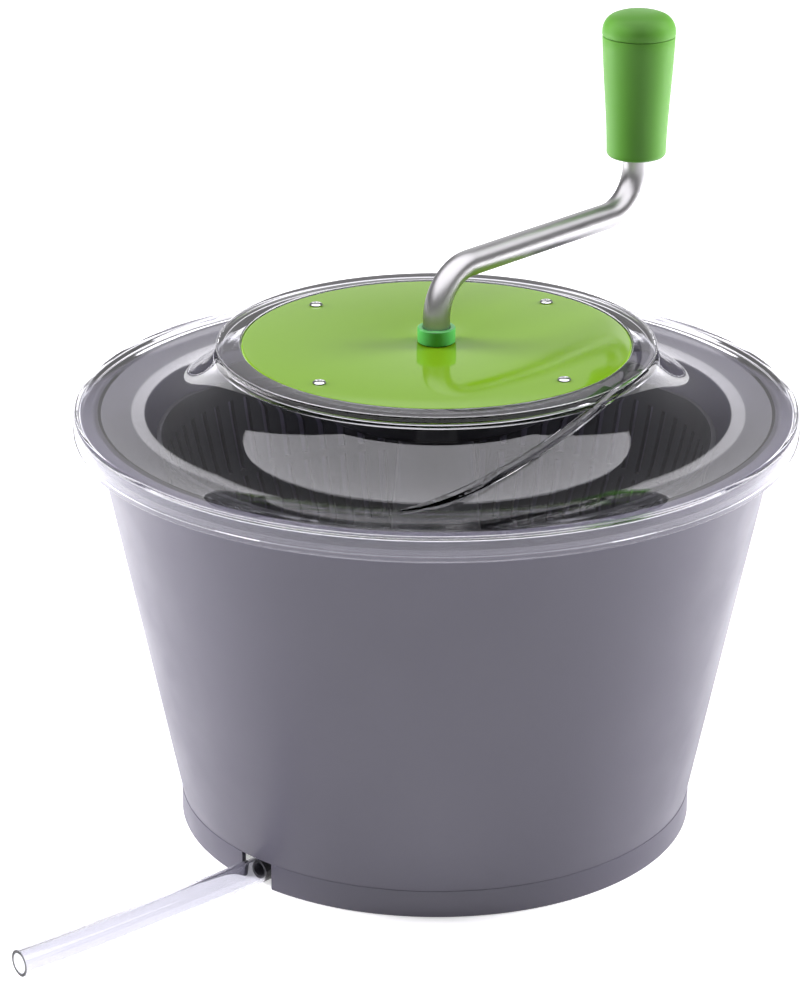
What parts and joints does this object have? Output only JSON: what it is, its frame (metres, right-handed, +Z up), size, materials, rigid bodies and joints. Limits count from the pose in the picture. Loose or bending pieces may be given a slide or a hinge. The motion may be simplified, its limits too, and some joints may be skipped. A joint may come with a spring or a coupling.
{
  "type": "salad spinner",
  "caption": "Hand-cranked catering salad spinner: tapered bowl with drain hose, slotted basket, clear domed lid, geared drive and cranked handle.",
  "frame": {"origin": "centre of the bowl's foot, on the surface it stands on", "axes": "+Z up along the crank's shaft; -Y towards the drain hose; +Y towards the handle at rest"},
  "size_m": [0.43, 0.5404, 0.4653],
  "materials": {
    "bowl_plastic": "satin moulded plastic",
    "basket_plastic": "moulded, slightly shiny",
    "clear_plastic": "clear, polished",
    "green_plastic": "glossy moulded plastic",
    "dark_green_plastic": "glossy moulded plastic",
    "black_plastic": "moulded plastic",
    "white_nylon": "natural nylon",
    "satin_steel": "satin, blasted",
    "steel": "bright steel",
    "rubber": "moulded rubber",
    "clear_hose": "clear flexible vinyl"
  },
  "bodies": {
    "bowl": {"bowl": "bowl_plastic", "pivot_pin": "steel", "drain_fitting": "black_plastic", "drain_gasket": "rubber", "drain_nut": "black_plastic", "drain_hose": "clear_hose"},
    "washer": {"thrust_washer": "white_nylon"},
    "basket": {"basket": "basket_plastic", "basket_bush": "white_nylon", "drive_column": "basket_plastic", "column_screws": "steel", "drive_socket": "steel"},
    "lid": {"lid": "clear_plastic", "cover_plate": "green_plastic", "cover_screws": "steel", "cover_nuts": "steel", "gearcase_cover": "black_plastic", "gearcase": "black_plastic", "gearcase_screws": "steel", "ring_gear": "white_nylon", "shaft_bush": "white_nylon", "output_bush": "white_nylon"},
    "crank": {"crank_arm": "satin_steel", "crank_collar": "dark_green_plastic", "planet_carrier": "black_plastic", "carrier_pin": "steel", "planet_pins": "steel", "planet_clips": "steel", "spindle_plug": "steel", "handle_bolt": "steel", "handle_washer": "steel"},
    "planet_1": {"planet_gear_1": "white_nylon"},
    "planet_2": {"planet_gear_2": "white_nylon"},
    "planet_3": {"planet_gear_3": "white_nylon"},
    "drive": {"sun_gear": "white_nylon", "output_shaft": "steel", "shaft_clip": "steel", "hex_driver": "steel", "driver_pin": "steel"},
    "grip": {"handle_grip": "green_plastic", "handle_cap": "green_plastic"}
  },
  "joints": [
    {"name": "lid_lift", "type": "slide", "parent": "bowl", "child": "lid", "axis": [0, 0, 1], "range_m": [0, 0.5]},
    {"name": "crank_spin", "type": "hinge", "parent": "lid", "child": "crank", "pos_m": [0, 0, 0.29], "axis": [0, 0, 1], "continuous": true},
    {"name": "grip_spin", "type": "hinge", "parent": "crank", "child": "grip", "pos_m": [0, 0.182, 0.41], "axis": [0, 0, 1], "continuous": true},
    {"name": "planet_1_spin", "type": "hinge", "parent": "crank", "child": "planet_1", "pos_m": [0, 0.036, 0.2705], "axis": [0, 0, 1], "continuous": true},
    {"name": "planet_2_spin", "type": "hinge", "parent": "crank", "child": "planet_2", "pos_m": [-0.03118, -0.018, 0.2705], "axis": [0, 0, 1], "continuous": true},
    {"name": "planet_3_spin", "type": "hinge", "parent": "crank", "child": "planet_3", "pos_m": [0.03118, -0.018, 0.2705], "axis": [0, 0, 1], "continuous": true},
    {"name": "drive_spin", "type": "hinge", "parent": "lid", "child": "drive", "pos_m": [0, 0, 0.26], "axis": [0, 0, 1], "continuous": true},
    {"name": "basket_spin", "type": "hinge", "parent": "bowl", "child": "washer", "pos_m": [0, 0, 0.034], "axis": [0, 0, 1], "continuous": true},
    {"name": "basket_lift", "type": "slide", "parent": "washer", "child": "basket", "axis": [0, 0, 1], "range_m": [0, 0.25]}
  ],
  "couplings": [
    {"joint": "planet_1_spin", "follows": "crank_spin", "ratio": -3},
    {"joint": "planet_2_spin", "follows": "crank_spin", "ratio": -3},
    {"joint": "planet_3_spin", "follows": "crank_spin", "ratio": -3},
    {"joint": "drive_spin", "follows": "crank_spin", "ratio": 4},
    {"joint": "basket_spin", "follows": "crank_spin", "ratio": 4},
    {"joint": "basket_lift", "follows": "lid_lift", "ratio": 0.5}
  ]
}
